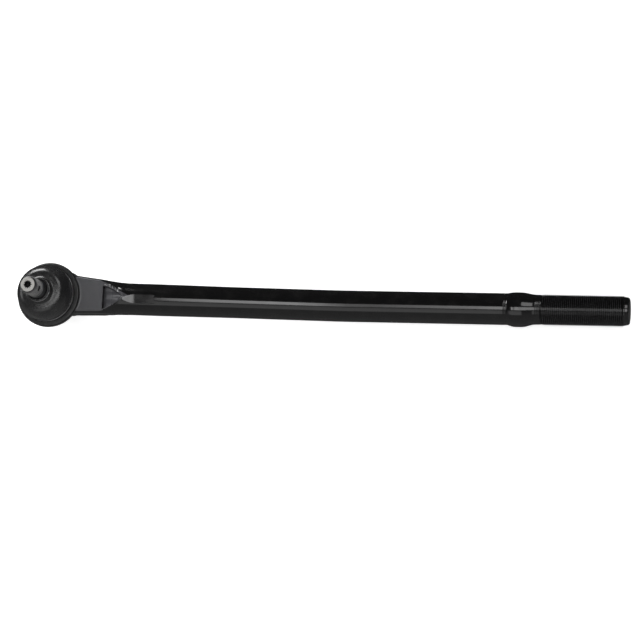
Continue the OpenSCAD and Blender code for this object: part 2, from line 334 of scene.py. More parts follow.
# Height and outer radius of the eye's wall, from its lower end to its flange
EYE_WALL = [(-18.0, 16.4), (-15.6, 17.9), (-10.3, 19.7), (1.0, 22.8), (5.0, 23.5), (7.1, 25.9), (7.8, 26.0),
            (10.4, 26.0),
            (11.3, 25.0)]


def eye_outline(rod):
    """Section of the eye: the tapered wall, the flange with its machined rim, the spigot for the boot, the
    coned mouth, the bore, the cover plate's seat and the lip rolled over the plate."""
    bore, spigot, mouth, throat, lip, plate_seat = rod.bore_radius / MM, 20.3, 17.2, 12.4, 15.0, 16.5
    rim, spigot_top, bore_top = 11.3, 17.5, 7.6
    plate_face, plate_back, bottom = PLATE_HIGH.z + 0.05, PLATE_LOW.z - 0.05, ROD_LOW.z
    fillets = [1.0, 2.0, 3.0, 6.0, 1.8, 0.3, 0.4, 0.35, 0.35]
    wall = [(radius, height, fillet) for (height, radius), fillet in zip(EYE_WALL, fillets)]
    return rounded([
        (lip, plate_back, 0.1), (lip, bottom, 0.6), *wall, (spigot, rim, 0.4), (spigot, spigot_top, 0.5),
        (mouth, spigot_top, 0.35), (throat, bore_top, 0.25), (bore, bore_top, 0), (bore, plate_face, 0),
        (plate_seat, plate_face, 0), (plate_seat, plate_back, 0)], closed=True)


class TIEROD_OT_eye(bpy.types.Operator):
    """Ball housing at the end of the forging"""

    bl_idname = "tierod.eye"
    bl_label = "Housing Eye"

    def execute(self, context):
        rod = context.scene.tie_rod.rod
        piece = surface("rod_eye", [(turned(eye_outline(rod), rod.steps + 32), True, True)])
        finish_piece(piece, rod_paint(), "rod", "rod_forging")
        return {"FINISHED"}


NECK_ROOT = 17.0


def quarter(share, half_width, half_height, corner):
    """A quarter of a rounded rectangle, from the middle of its top to the middle of its side, by share of
    its length: straight to the corner, round the corner's arc, and straight down. Gives (across, up, the
    normal's upward part)."""
    flat, arc, side = half_width - corner, corner * math.pi / 2, half_height - corner
    length = share * (flat + arc + side)
    angle = np.clip((length - flat) / corner, 0, math.pi / 2)
    across = np.minimum(length, flat) + corner * np.sin(angle)
    up = half_height - corner + corner * np.cos(angle) - np.maximum(length - flat - arc, 0)
    return across, up, np.cos(angle)


def side_fillet(x, half_width, eye, fillet):
    """Half width of the neck with a fillet against the eye's round wall: the arc touches both the side and
    the wall."""
    middle = np.sqrt((eye + fillet) ** 2 - (half_width + fillet) ** 2)
    touch = middle * eye / (eye + fillet)
    lean = np.clip(middle - np.maximum(x, touch), 0, fillet)
    return half_width + fillet - np.sqrt(fillet**2 - lean**2)


def wall_fillet(distance, fillet):
    """Rise of a face next to an upright wall: a quarter circle of the fillet's radius."""
    lean = np.clip(fillet - distance, 0, fillet)
    return fillet - np.sqrt(fillet**2 - lean**2)


def rod_stations():
    """Places along the rod at which it has a section: close together at the pad, the pocket, the flat and
    the collar."""
    spans = [(8.0, 44, 0.7), (44, 64, 0.3), (64, 74, 0.5), (74, 88, 1.2), (88, 90, 0.14), (90, 228, 7),
             (228, 252, 2),
             (252, 366, 9), (366, 374, 0.22), (374, 384, 1.5), (384, 392, 0.6), (392, 396.6, 0.16)]
    return np.concatenate([np.arange(a, b - 1e-9, step) for a, b, step in spans] + [[396.6, 396.9]])


def bar_radius_along(x, rod):
    """Radius along the rod from the root of the neck to the shank's relief, through the two grooves and the
    collar."""
    bar, root, collar = rod.bar_radius / MM, rod.root_radius / MM, rod.collar_radius / MM
    relief = 11.7
    along = [(18, root), (90, root), (150, bar), (368.6, bar), (368.9, bar - 0.2), (369.2, bar - 0.2),
             (369.5, bar + 0.05), (370.2, bar + 0.05), (370.5, bar - 0.2), (370.8, bar - 0.2),
             (371.1, bar + 0.1),
             (372.4, collar - 0.65), (374.4, collar - 0.22), (377, collar), (382.6, collar),
             (384.6, collar - 0.25),
             (390.4, relief + 0.12), (391.6, relief), (392.8, relief), (393.0, relief - 0.22),
             (393.3, relief - 0.22),
             (393.5, relief), (394.2, relief), (394.4, relief - 0.22), (394.7, relief - 0.22),
             (394.9, relief),
             (395.5, relief), (395.7, relief - 0.25), (396.0, relief - 0.25), (396.2, relief - 0.05),
             (396.6, relief - 0.1), (396.9, relief - 0.45)]
    places, radii = np.array(along).T
    return np.interp(x, places, radii)


def centre_line(x, rod):
    """Sideways place of the rod's middle: a straight run from the ball's centre, a gentle bend, then the
    shank's axis, with the neck a little to one side."""
    slope, offset, reach = rod.axis_offset / rod.bend_at, rod.axis_offset / MM, rod.bend_at / MM
    soft = 6.0
    past = x - reach
    before = 0.5 * (np.sqrt(past**2 + soft**2) - past)
    neck = np.interp(x, [20, 45, 64], [1.6, 0.6, 0])
    collar = 0.3 * smooth_step(x, 370, 376) * (1 - smooth_step(x, 383, 391))
    return -offset + before * slope + neck - collar


def rod_sections(rod):
    """Points of the rod from the neck to the relief: a rounded rectangle whose corner radius grows until it
    is the bar's circle, carried along the centre line, with the fillets, pocket, ridges and flat laid into
    it."""
    x = rod_stations()[:, None]
    top_points, low_points = 66, 34
    radius = bar_radius_along(x, rod)
    grow = smooth_step(x, 44, 62)
    pad = rod.pad_height / MM
    height = pad + (radius - pad) * grow
    places, widths = [18, 23, 27.5, 37, 42, 48.5, 55, 64], [15.3, 15.15, 14.8, 14.1, 13.8, 13.3, 13.05, 12.75]
    heights, walls = np.array(EYE_WALL).T
    width = np.where(x < 64, np.interp(x, places, widths), radius)
    corner_grow = smooth_step(x, 41.5, 60)
    corner = np.minimum(2.6 + (radius - 2.6) * corner_grow, np.minimum(width, height) - 0.001)
    top_share = (np.arange(top_points) / top_points)[None, :]
    low_share = (np.arange(low_points) / low_points)[None, :]
    y_a, z_a, n_a = quarter(top_share, width, height, corner)
    y_b, z_b, n_b = quarter(1 - low_share, width, height, corner)
    y_c, z_c, n_c = quarter(low_share, width, height, corner)
    y_d, z_d, n_d = quarter(1 - top_share, width, height, corner)
    across = np.hstack([y_a, y_b, -y_c, -y_d])
    up = np.hstack([z_a, -z_b, -z_c, z_d])
    facing = np.hstack([n_a, -n_b, -n_c, n_d])
    middle = centre_line(x, rod)
    flare = side_fillet(x, width, rod.eye_radius / MM - 0.4, 6.0) - width
    across = across + np.sign(across) * flare * (1 - facing**2) * smooth_step(up, -9, 4)
    distance = np.sqrt(x**2 + (across + middle) ** 2) - np.interp(up, heights, walls)
    up = up + np.where(facing > 0, wall_fillet(distance, 0.7), 0) * facing**2
    up = up - np.where(facing < 0, wall_fillet(distance, 4.0), 0) * facing**2
    up = sink_pocket(x, across, up, facing, rod)
    across, up = cut_flat(x, across, up, rod)
    across = across + flash_line(x, across, up)
    y = across + middle
    return np.stack([np.maximum(x, np.sqrt(np.maximum(NECK_ROOT**2 - y**2, 0))), y, up], axis=-1)


def sink_pocket(x, across, up, facing, rod):
    """Sinks the pocket behind the pad and raises the ridges that were squeezed up beside it. The pocket's
    floor climbs in a straight ramp to the bar's crown, its half width shrinks to a point, and each ridge is
    a bell curve."""
    start, end = 45.2, 62.5
    run = np.clip((x - start) / (end - start), 0, 1)
    middle = -1.2 + 1.7 * run
    half = 9.2 * (1 - run**1.45)
    inside = smooth_step(half - np.abs(across - middle), -0.25, 0.55) * smooth_step(x, start - 0.25,
        start + 0.3)
    inside = inside * (x < end)
    crown = rod.root_radius / MM
    floor = rod.pocket_floor / MM + (crown - rod.pocket_floor / MM) * run - 0.25 * np.sin(across * 0.9 + 0.6)
    top = facing > 0
    sunk = np.where(top, up * (1 - inside) + np.minimum(up, floor) * inside, up)
    outside = np.abs(across - middle) - half
    along = smooth_step(x, 45.5, 47.5) * (1 - smooth_step(x, 60, 63.5))
    lumps = 0.75 + 0.25 * np.sin(1.7 * x + 0.8) * np.sin(0.9 * x)
    near = 0.9 * np.exp(-(((outside - 0.7) / 0.6) ** 2))
    far = 0.8 * np.exp(-(((outside - 2.9 + 0.06 * (x - 50)) / 0.62) ** 2)) * smooth_step(x, 49.5,
        52) * (across > middle)
    return sunk + np.where(top, (near + far) * along * lumps, 0)


def cut_flat(x, across, up, rod):
    """Cuts the long flat into the top of the bar: points above a plane that leans a little are dropped onto
    it. It comes in over its first third and ends in a step."""
    lean = math.radians(-6.4)
    normal_y, normal_z = math.sin(lean), math.cos(lean)
    depth = 0.56 * smooth_step(x, 60.5, 73) * (1 - smooth_step(x, 88.7, 89.15)) - 0.02
    level = bar_radius_along(x, rod) - depth
    above = np.maximum(across * normal_y + up * normal_z - level, 0) * (x > 62.5) * (x < 90)
    return across - above * normal_y, up - above * normal_z


def flash_line(x, across, up):
    """Trimmed flash line along both sides of the neck: a low flat ridge at the middle plane that runs out
    at the bar."""
    ridge = 0.25 * (1 - smooth_step(np.abs(up + 3.1), 0.5, 0.95)) * (1 - smooth_step(x, 58, 70))
    return np.sign(across) * ridge


def capped(sections):
    """The sections with shrunken copies of the first and a middle point after the last, so that both ends
    close. The copies lie on the upright cylinder that the neck starts from, inside the eye's wall."""
    first = sections[:1] * np.array([0.0, 1.0, 1.0])
    cover = np.concatenate([first * share for share in (0.0, 0.3, 0.6, 0.85)])
    cover[..., 0] = np.sqrt(np.maximum(NECK_ROOT**2 - cover[..., 1] ** 2, 0))
    last = np.repeat(sections[-1:].mean(axis=1, keepdims=True), sections.shape[1], axis=1)
    return np.concatenate([cover, sections, last])


class TIEROD_OT_bar(bpy.types.Operator):
    """Neck, bar and collar of the forging"""

    bl_idname = "tierod.bar"
    bl_label = "Neck and Bar"

    def execute(self, context):
        rod = context.scene.tie_rod.rod
        piece = surface("rod_bar", [(capped(rod_sections(rod)), False, True)], sharp=50)
        finish_piece(piece, rod_paint(), "rod", "rod_forging")
        return {"FINISHED"}


class TIEROD_OT_shank_thread(bpy.types.Operator):
    """Helical thread and pilot at the end of the shank"""

    bl_idname = "tierod.shank_thread"
    bl_label = "Shank Thread"

    def execute(self, context):
        settings = context.scene.tie_rod
        rod, pitch = settings.rod, settings.stud.pitch / MM
        crest = rod.thread_radius / MM
        root, end = crest - 0.6134 * pitch, ROD_HIGH.x - 3.8
        start, axis_y = 396.3, -rod.axis_offset / MM
        radius, along, turn = thread_band(start, end, crest, root, pitch, rod.steps, 1.6 * pitch, 1.1)
        band = np.stack([along, axis_y + radius * np.cos(turn), radius * np.sin(turn)], axis=-1)
        butt = turned(np.array([(0, start - 1), (root, start - 1), (root, start)]), rod.steps, True, axis_y)
        pilot = rounded([(root, end, 0), (root, end + 0.5, 0.3), (root - 0.15, end + 1.0, 0.3),
                         (root - 0.42, ROD_HIGH.x - 0.9, 0.5), (root - 1.35, ROD_HIGH.x, 0.35),
                         (0, ROD_HIGH.x, 0)])
        nose = turned(pilot, rod.steps, True, axis_y)
        piece = surface("shank_thread", [(butt, False, True), (band, False, False), (nose, False, True)],
                        sharp=30)
        finish_piece(piece, rod_paint(), "rod", "rod_forging")
        return {"FINISHED"}


# ---------------------------------------------------------------- ball stud


def star_rings(stud, steps, rim, tip):
    """Rings from the end face's rim to the middle of the star drive: the rim's circle, the star's outline
    at the face and at its floor, whose radius swings between its points and its valleys, and the middle."""
    a = angles(steps)[None, :]
    valley = 0.5 - 0.5 * np.cos(a * stud.star_points)
    star = stud.star_radius / MM * (1 - 0.3 * valley**0.7)
    levels = [(rim, tip), (star + 0.25, tip), (star, tip - 0.2), (star, tip - 2.6), (star - 0.4, tip - 3.0),
              (0 * a, tip - 3.6)]
    rings = [np.stack([r * np.cos(a), r * np.sin(a), h + 0 * a], axis=-1) for r, h in levels]
    return np.concatenate(rings)


def drilled(piece, radius, mouth, reach, height, turn):
    """Cuts a through hole with coned mouths into the piece: subtracts a turned cutter laid across it."""
    outline = np.array([(0, -reach - 3), (mouth, -reach - 3), (mouth, -reach), (radius, -reach + 0.75),
                        (radius, reach - 0.75), (mouth, reach), (mouth, reach + 3), (0, reach + 3)])
    cutter = surface("cutter", [(turned(outline, 40), False, True)])
    lay = Matrix.Rotation(turn, 4, "Z") @ Matrix.Rotation(math.radians(90), 4, "Y")
    cutter.data.transform(Matrix.Translation((0, 0, height * MM)) @ lay)
    cut = piece.modifiers.new("hole", "BOOLEAN")
    cut.operation = "DIFFERENCE"
    cut.solver = "EXACT"
    cut.object = cutter
    graph = bpy.context.evaluated_depsgraph_get()
    mesh = bpy.data.meshes.new_from_object(piece.evaluated_get(graph), depsgraph=graph)
    piece.modifiers.remove(cut)
    piece.data = mesh
    bpy.data.objects.remove(cutter)
    mesh.polygons.foreach_set("use_smooth", [True] * len(mesh.polygons))
    mesh.set_sharp_from_angle(angle=math.radians(30))
    return piece


class TIEROD_OT_stud(bpy.types.Operator):
    """Ball stud with its taper, thread, split pin hole and star drive"""

    bl_idname = "tierod.stud"
    bl_label = "Ball Stud"

    def execute(self, context):
        stud = context.scene.tie_rod.stud
        steps = 96
        pitch, crest, tip = stud.pitch / MM, stud.thread_radius / MM, STUD_HIGH.z
        root, ball, shank = crest - 0.6134 * pitch, stud.ball_radius / MM, stud.shank_radius / MM
        taper, taper_z = stud.taper_radius / MM, stud.taper_start / MM
        taper_end = taper_z + stud.taper_length / MM
        taper_tip = taper - stud.taper_length / MM / 16
        low, join = STUD_LOW.z, math.sqrt(ball**2 - (shank + 0.2) ** 2)
        lowest = math.asin(low / ball)
        rise = np.linspace(lowest, math.asin(join / ball), 26)
        globe = np.column_stack([ball * np.cos(rise), ball * np.sin(rise)])
        thread_start, thread_end = taper_end + 0.6, tip - 1.35
        stem = rounded([(globe[-1][0], join, 0), (shank, join + 0.9, 0.5), (shank, taper_z - 4, 1.5),
                        (taper, taper_z, 0.5), (taper_tip, taper_end, 0.25), (root, thread_start, 0.0)])
        body = turned(np.vstack([[(0, low)], globe, stem[1:]]), steps)
        radius, up, turn = thread_band(thread_start, thread_end, crest, root, pitch, steps, 1.2 * pitch, 0.9)
        band = np.stack([radius * np.cos(turn), radius * np.sin(turn), up], axis=-1)
        rim = crest - 1.35
        chamfer = turned(np.array([(root, thread_end), (root, thread_end + 0.45), (rim + 0.12, tip - 0.12),
                                   (rim, tip)]), steps)
        face = star_rings(stud, steps, rim, tip)
        face = face.reshape(-1, steps, 3)
        piece = surface("ball_stud_turned", [(body, False, True), (band, False, False), (chamfer, False,
            True),
                                             (face, False, True)], sharp=30)
        drilled(piece, stud.pin_hole_radius / MM, 2.3, crest + 0.15, tip - 9, stud.pin_hole_turn)
        if "edge" not in piece.data.attributes:
            mark_edges(piece.data)
        finish_piece(piece, stud_steel(), "stud", "ball_stud")
        return {"FINISHED"}


# ---------------------------------------------------------------- boot and its clips


def boot_outline():
    """Section of the boot: foot, clip groove, bulged wall, round shoulder, nearly flat top, the neck with its
    ring groove and lip, and back down the inner wall."""
    foot, top = BOOT_LOW.z, BOOT_HIGH.z
    clip_z = (CLIP_LOW.z + CLIP_HIGH.z) / 2
    ring_z = (RING_LOW.z + RING_HIGH.z) / 2
    base = rounded([(20.5, foot, 0), (22.2, foot, 0.4), (22.2, clip_z - 1.1, 0.3), (21.4, clip_z - 0.8, 0.3),
                    (21.4, clip_z + 0.8, 0.3), (22.05, clip_z + 1.25, 0.3), (22.15, clip_z + 2.0, 0)])
    wall = curved([(22.15, clip_z + 2.0), (22.28, 18.2), (22.25, 20.3), (22.0, 22.8), (21.4, 25.2),
                   (20.5, 27.3), (19.2, 29.2), (17.6, 30.7), (15.9, 31.6), (14.2, 32.0), (12.6, 32.15),
                   (11.3, 32.45), (10.2, 33.2), (9.4, 34.3),
                   (9.0, 35.1)])
    neck = rounded([(9.0, ring_z - 0.9, 0), (9.0, ring_z + 0.9, 0.2), (9.5, ring_z + 1.35, 0.3),
                    (9.35, top, 0.45), (8.0, top, 0.4),
                    (8.05, 34.4, 0)])
    inner = curved([(8.05, 33.6), (8.8, 31.4), (10.4, 30.2), (13, 29.75), (15.6, 29.7), (16.9, 28.4),
                    (18.3, 25.8), (19.8, 22.6), (20.3, 19.6), (20.45, 17.5),
                    (20.5, 14.5)])
    return np.vstack([base, wall[1:], neck[1:], inner])


class TIEROD_OT_boot(bpy.types.Operator):
    """Rubber boot between the housing and the stud"""

    bl_idname = "tierod.boot"
    bl_label = "Dust Boot"

    def execute(self, context):
        seal = context.scene.tie_rod.seal
        piece = surface("boot_rubber", [(turned(boot_outline(), seal.boot_steps), True, True)], sharp=60)
        piece.data.materials.append(boot_rubber())
        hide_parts("dust_boot")
        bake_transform(piece)
        return {"FINISHED"}


def wound_wire(name, ring_radius, wire, height, turns, steps=96, sides=10):
    """Wire wound into a ring: its middle line is a helix that climbs one wire diameter a turn, and its
    section a circle that shrinks to a point at both cut ends."""
    total = int(turns * steps)
    a = np.linspace(0, turns * TURN, total + 1)[:, None]
    rise = 2.04 * wire * (a / TURN - turns / 2)
    around = angles(sides)[None, :]
    ends = np.ones_like(a)
    ends[[0, -1]] = 0
    across, up = wire * ends * np.cos(around), wire * ends * np.sin(around)
    radius = ring_radius + across
    points = np.stack([radius * np.cos(a), radius * np.sin(a), height + rise + up], axis=-1)
    first, last = points[1:2].copy(), points[-2:-1].copy()
    turn_back = TURN / steps * 0.98
    points = np.concatenate([points[:1], spun(first, -turn_back), points[1:-1], spun(last, turn_back),
                             points[-1:]])
    return surface(name, [(points, False, True)])


def spun(points, angle):
    """Points turned about Z."""
    c, s = math.cos(angle), math.sin(angle)
    return points @ np.array([[c, s, 0], [-s, c, 0], [0, 0, 1]])


class TIEROD_OT_clips(bpy.types.Operator):
    """Wound wire clips at the boot's base and neck"""

    bl_idname = "tierod.clips"
    bl_label = "Boot Clips"

    def execute(self, context):
        seal = context.scene.tie_rod.seal
        clip, ring = seal.clip_wire / MM, seal.ring_wire / MM
        clip_z, ring_z = (CLIP_LOW.z + CLIP_HIGH.z) / 2, (RING_LOW.z + RING_HIGH.z) / 2
        base = wound_wire("boot_base_clip_wire", CLIP_HIGH.x - 1.5 + clip, clip, clip_z, 2.05, steps=120)
        finish_piece(base, clip_steel(), "rod", "boot_base_clip")
        neck = wound_wire("boot_neck_ring_wire", RING_HIGH.x - 1.2 + ring, ring, ring_z, 2.1, steps=72)
        finish_piece(neck, ring_steel(), "boot_neck", "boot_neck_ring")
        return {"FINISHED"}


# ---------------------------------------------------------------- cover plate and grease nipple


class TIEROD_OT_cover(bpy.types.Operator):
    """Pressed cover plate under the ball"""

    bl_idname = "tierod.cover"
    bl_label = "Cover Plate"

    def execute(self, context):
        low, high, rim, hole = PLATE_LOW.z, PLATE_HIGH.z, PLATE_HIGH.x, 3.0
        outline = rounded([(hole, high, 0.1), (hole, high - 1.45, 0.2), (8, high - 1.45, 2.0), (13, low, 2.0),
                           (rim, low, 0.3), (rim, high - 0.55, 0.1), (rim - 0.95, high - 0.55, 0),
                           (rim - 1.25, high, 0)], closed=True)
        piece = surface("cover_plate_pressed", [(turned(outline, 128), True, True)])
        finish_piece(piece, plate_zinc(), "rod", "cover_plate")
        return {"FINISHED"}


def nipple_rings(seal, steps):
    """Rings of the grease nipple: the coned head, the groove behind it, the chamfered hexagon and the
    spigot, then back through the spring's bore and the mouth. On the hexagon the radius is the flat's
    distance over the cosine of the angle from the flat's middle, cut by the chamfer's cone."""
    mouth, top = NIPPLE_LOW.z, NIPPLE_HIGH.z
    across = seal.hexagon / 2 / MM
    hex_top, hex_bottom = PLATE_HIGH.z - 1.55, PLATE_HIGH.z - 4.95
    a = angles(steps)
    from_flat = (a + math.pi / 6) % (math.pi / 3) - math.pi / 6
    hexagon = across / np.cos(from_flat)
    corner = across / math.cos(math.pi / 6)
    head = rounded([(0.7, mouth, 0.1), (1.6, mouth, 0.3), (3.2, mouth + 2, 0.35), (3.2, mouth + 3.2, 0.3),
                    (2.3, mouth + 4.6, 0.5), (2.3, mouth + 6.2, 0.4), (3.4, hex_bottom - 0.5, 0.2)])
    hex_levels = [(hex_bottom, across - 0.15), (hex_bottom + 0.25, across + 0.05),
                  (hex_bottom + 0.5, across + 0.35), (hex_bottom + 0.75, corner), (hex_top - 0.5, corner),
                  (hex_top - 0.25, across + 0.3),
                  (hex_top, across - 0.15)]
    back = rounded([(2.98, hex_top, 0), (2.98, top, 0.2), (1.15, top, 0.1), (1.15, mouth + 1.6, 0),
                    (0.7, mouth + 1.2, 0)])
    hex_rings = [np.stack([np.minimum(hexagon, limit) * np.cos(a), np.minimum(hexagon, limit) * np.sin(a),
                           level + 0 * a], axis=-1)[None] for level, limit in hex_levels]
    return np.concatenate([turned(head, steps), *hex_rings, turned(back, steps)])


class TIEROD_OT_nipple(bpy.types.Operator):
    """Grease nipple in the cover plate"""

    bl_idname = "tierod.nipple"
    bl_label = "Grease Nipple"

    def execute(self, context):
        seal = context.scene.tie_rod.seal
        piece = surface("nipple_turned", [(nipple_rings(seal, 72), True, True)], sharp=25)
        finish_piece(piece, nipple_zinc(), "rod", "nipple_body")
        return {"FINISHED"}


class TIEROD_OT_inner_parts(bpy.types.Operator):
    """Finishes of the parts inside the joint, whose shapes come with the frame"""

    bl_idname = "tierod.inner_parts"
    bl_label = "Inner Parts"

    def execute(self, context):
        finishes = {
            "upper_bearing": polymer("bearing_polymer", 1.0),
            "lower_seat": polymer("seat_polymer", 0.9),
            "disc_spring": plain_steel("spring_steel", 0.35, 0.2),
            "cover_seal": boot_rubber(),
            "nipple_check_ball": plain_steel("check_steel", 0.12, 0.6),
            "nipple_spring": plain_steel("nipple_spring_steel", 0.25, 0.5),
        }
        for node, finish in finishes.items():
            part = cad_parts[node]
            part.data.materials.clear()
            part.data.materials.append(finish)
        return {"FINISHED"}


# ---------------------------------------------------------------- finishes


def finish_piece(piece, finish, body, node):
    """Gives the piece its material, makes it stand for its CAD node and lets it ride on its body."""
    piece.data.materials.clear()
    piece.data.materials.append(finish)
    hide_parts(node)
    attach(piece, body)


def add_node(tree, kind, inputs=None, **settings):
    """A node with its settings; each input is a value or another node's output socket."""
    node = tree.nodes.new(kind)
    for key, value in settings.items():
        setattr(node, key, value)
    for key, value in (inputs or {}).items():
        if isinstance(value, bpy.types.NodeSocket):
            tree.links.new(value, node.inputs[key])
        else:
            node.inputs[key].default_value = value
    return node


def maths(tree, operation, a, b=0.0, clamp=False):
    """Output of a Math node."""
    return add_node(tree, "ShaderNodeMath", {0: a, 1: b}, operation=operation, use_clamp=clamp).outputs[0]


def remap(tree, value, from_low, from_high, to_low=0.0, to_high=1.0):
    """Output of a smooth Map Range node."""
    inputs = {"Value": value, "From Min": from_low, "From Max": from_high, "To Min": to_low,
              "To Max": to_high}
    return add_node(tree, "ShaderNodeMapRange", inputs, interpolation_type="SMOOTHSTEP").outputs["Result"]


def noise(tree, place, scale, detail=3.0, roughness=0.55):
    """Height of a noise pattern at a place."""
    inputs = {"Vector": place, "Scale": scale, "Detail": detail, "Roughness": roughness}
    return add_node(tree, "ShaderNodeTexNoise", inputs).outputs["Fac"]


def mixed(tree, mask, first, second):
    """Colour that goes from first to second by the mask."""
    node = add_node(tree, "ShaderNodeMix", data_type="RGBA")
    for key, value in (("Factor", mask), ("A", first), ("B", second)):
        socket = next(s for s in node.inputs if s.name == key and (key == "Factor" or s.type == "RGBA"))
        if isinstance(value, bpy.types.NodeSocket):
            tree.links.new(value, socket)
        else:
            socket.default_value = value
    return next(s for s in node.outputs if s.type == "RGBA")


def start_group(name, inputs, outputs):
    """A new shader node group with float sockets, or None if it was built before."""
    if name in bpy.data.node_groups:
        return None
    group = bpy.data.node_groups.new(name, "ShaderNodeTree")
    for label, value in inputs.items():
        socket = group.interface.new_socket(label, in_out="INPUT", socket_type="NodeSocketFloat")
        socket.default_value = value
    for label in outputs:
        group.interface.new_socket(label, in_out="OUTPUT", socket_type="NodeSocketFloat")
    return group


def skin_group():
    """Skin of a coated or moulded surface: fine grain on slow waves, and a mottle for its colour and
    gloss."""
    group = start_group("Skin", {"Grain Scale": 1500.0, "Wave Scale": 160.0, "Wave Share": 0.5},
                        ["Height", "Mottle"])
    if group:
        given = add_node(group, "NodeGroupInput").outputs
        place = add_node(group, "ShaderNodeTexCoord").outputs["Object"]
        grain = noise(group, place, given["Grain Scale"], 4)
        wave = noise(group, place, given["Wave Scale"], 2)
        kept = maths(group, "SUBTRACT", 1.0, given["Wave Share"])
        height = maths(group, "ADD", maths(group, "MULTIPLY", grain, kept),
                       maths(group, "MULTIPLY", wave, given["Wave Share"]))
        blotch = noise(group, place, maths(group, "MULTIPLY", given["Wave Scale"], 0.55), 6, 0.62)
        add_node(group, "NodeGroupOutput", {"Height": height, "Mottle": remap(group, blotch, 0.32, 0.68)})
    return bpy.data.node_groups["Skin"]


def wear_group():
    """Wear on outward edges: the stored edge value, broken up by noise and cut off below a threshold."""
    group = start_group("Edge Wear", {"Amount": 0.5, "Breakup Scale": 900.0}, ["Mask"])
    if group:
        given = add_node(group, "NodeGroupInput").outputs
        place = add_node(group, "ShaderNodeTexCoord").outputs["Object"]
        edge = add_node(group, "ShaderNodeAttribute", attribute_name="edge").outputs["Fac"]
        breakup = noise(group, place, given["Breakup Scale"], 5, 0.65)
        raised = maths(group, "MULTIPLY", edge, maths(group, "ADD", breakup, 0.45))
        threshold = maths(group, "SUBTRACT", 0.85, maths(group, "MULTIPLY", given["Amount"], 0.7))
        above = maths(group, "SUBTRACT", raised, threshold)
        add_node(group, "NodeGroupOutput", {"Mask": remap(group, above, 0.0, 0.18)})
    return bpy.data.node_groups["Edge Wear"]


def dust_group():
    """Thin dust on surfaces that face up: the object's own normal, broken up by noise at two sizes."""
    group = start_group("Dust", {"Amount": 0.3, "Scale": 120.0}, ["Mask"])
    if group:
        given = add_node(group, "NodeGroupInput").outputs
        coordinates = add_node(group, "ShaderNodeTexCoord").outputs
        upward = add_node(group, "ShaderNodeSeparateXYZ", {0: coordinates["Normal"]}).outputs["Z"]
        broad = noise(group, coordinates["Object"], given["Scale"], 6, 0.6)
        specks = noise(group, coordinates["Object"], maths(group, "MULTIPLY", given["Scale"], 14.0), 2)
        cover = maths(group, "MULTIPLY", remap(group, broad, 0.45, 0.72), remap(group, upward, 0.1, 0.9))
        spotted = maths(group, "MULTIPLY", cover, remap(group, specks, 0.4, 0.7, 0.4, 1.0))
        add_node(group, "NodeGroupOutput", {"Mask": maths(group, "MULTIPLY", spotted, given["Amount"], True)})
    return bpy.data.node_groups["Dust"]


def lathe_group():
    """Fine turning marks: rings along Z and round Z, uneven in depth."""
    group = start_group("Lathe Marks", {"Rings per Metre": 5000.0}, ["Height"])
    if group:
        given = add_node(group, "NodeGroupInput").outputs
        place = add_node(group, "ShaderNodeTexCoord").outputs["Object"]
        part = add_node(group, "ShaderNodeSeparateXYZ", {0: place}).outputs
        spread = maths(group, "ADD", part["Z"], from_axis(group, part["X"], part["Y"]))
        wave = add_node(group, "ShaderNodeTexNoise",
                        {"W": maths(group, "MULTIPLY", spread, given["Rings per Metre"]),
                                                      "Scale": 1.0, "Detail": 3.0}, noise_dimensions="1D")
        add_node(group, "NodeGroupOutput", {"Height": wave.outputs["Fac"]})
    return bpy.data.node_groups["Lathe Marks"]


def from_axis(tree, x, y):
    """Distance from an axis, from the two distances across it."""
    squares = maths(tree, "ADD", maths(tree, "MULTIPLY", x, x), maths(tree, "MULTIPLY", y, y))
    return maths(tree, "SQRT", squares)


def use_group(tree, group, **inputs):
    """Outputs of a group placed in a material with its own values."""
    values = {key.replace("_", " "): value for key, value in inputs.items()}
    return add_node(tree, "ShaderNodeGroup", values, node_tree=group).outputs


def start_material(slot):
    """A new material with its tree for a slot, or None for the tree if it was made before."""
    name = slot + "_finish"
    if name in bpy.data.materials:
        return bpy.data.materials[name], None
    material = bpy.data.materials.new(name)
    material.use_nodes = True
    material.node_tree.nodes.clear()
    return material, material.node_tree


def principled(tree, inputs, height=None, depth=0.0):
    """Principled shader on the material's output, with an optional bump of the given depth in metres."""
    if height is not None:
        bump = add_node(tree, "ShaderNodeBump", {"Height": height, "Distance": depth, "Strength": 1.0})
        inputs = {**inputs, "Normal": bump.outputs["Normal"]}
    shader = add_node(tree, "ShaderNodeBsdfPrincipled", inputs)
    add_node(tree, "ShaderNodeOutputMaterial", {"Surface": shader.outputs["BSDF"]})


def opaque(colour):
    """The colour with full opacity."""
    return (*colour, 1.0)


def pad_sheen_mask(tree, place):
    """Mask of painted sheen on the scaly faces of the neck: the pad's top and the pocket with its ridges are
    painted paler where they catch the light.
    """
    part = add_node(tree, "ShaderNodeSeparateXYZ", {0: place}).outputs
    x, up = part["X"], part["Z"]
    beyond = remap(tree, from_axis(tree, x, part["Y"]), 0.0260, 0.0264)
    pad = maths(tree, "MULTIPLY", remap(tree, x, 0.0452, 0.0458, 1.0, 0.0), remap(tree, up, 0.0090, 0.0094))
    spread = maths(tree, "ADD", maths(tree, "ABSOLUTE", part["Y"]), maths(tree, "MULTIPLY", x, 0.5))
    pocket = maths(tree, "MULTIPLY", remap(tree, spread, 0.0335, 0.0345, 1.0, 0.0),
                   remap(tree, up, 0.0052, 0.0058))
    behind = maths(tree, "MULTIPLY", pocket, remap(tree, x, 0.0452, 0.0462))
    return maths(tree, "MULTIPLY", maths(tree, "MAXIMUM", pad, behind), beyond)


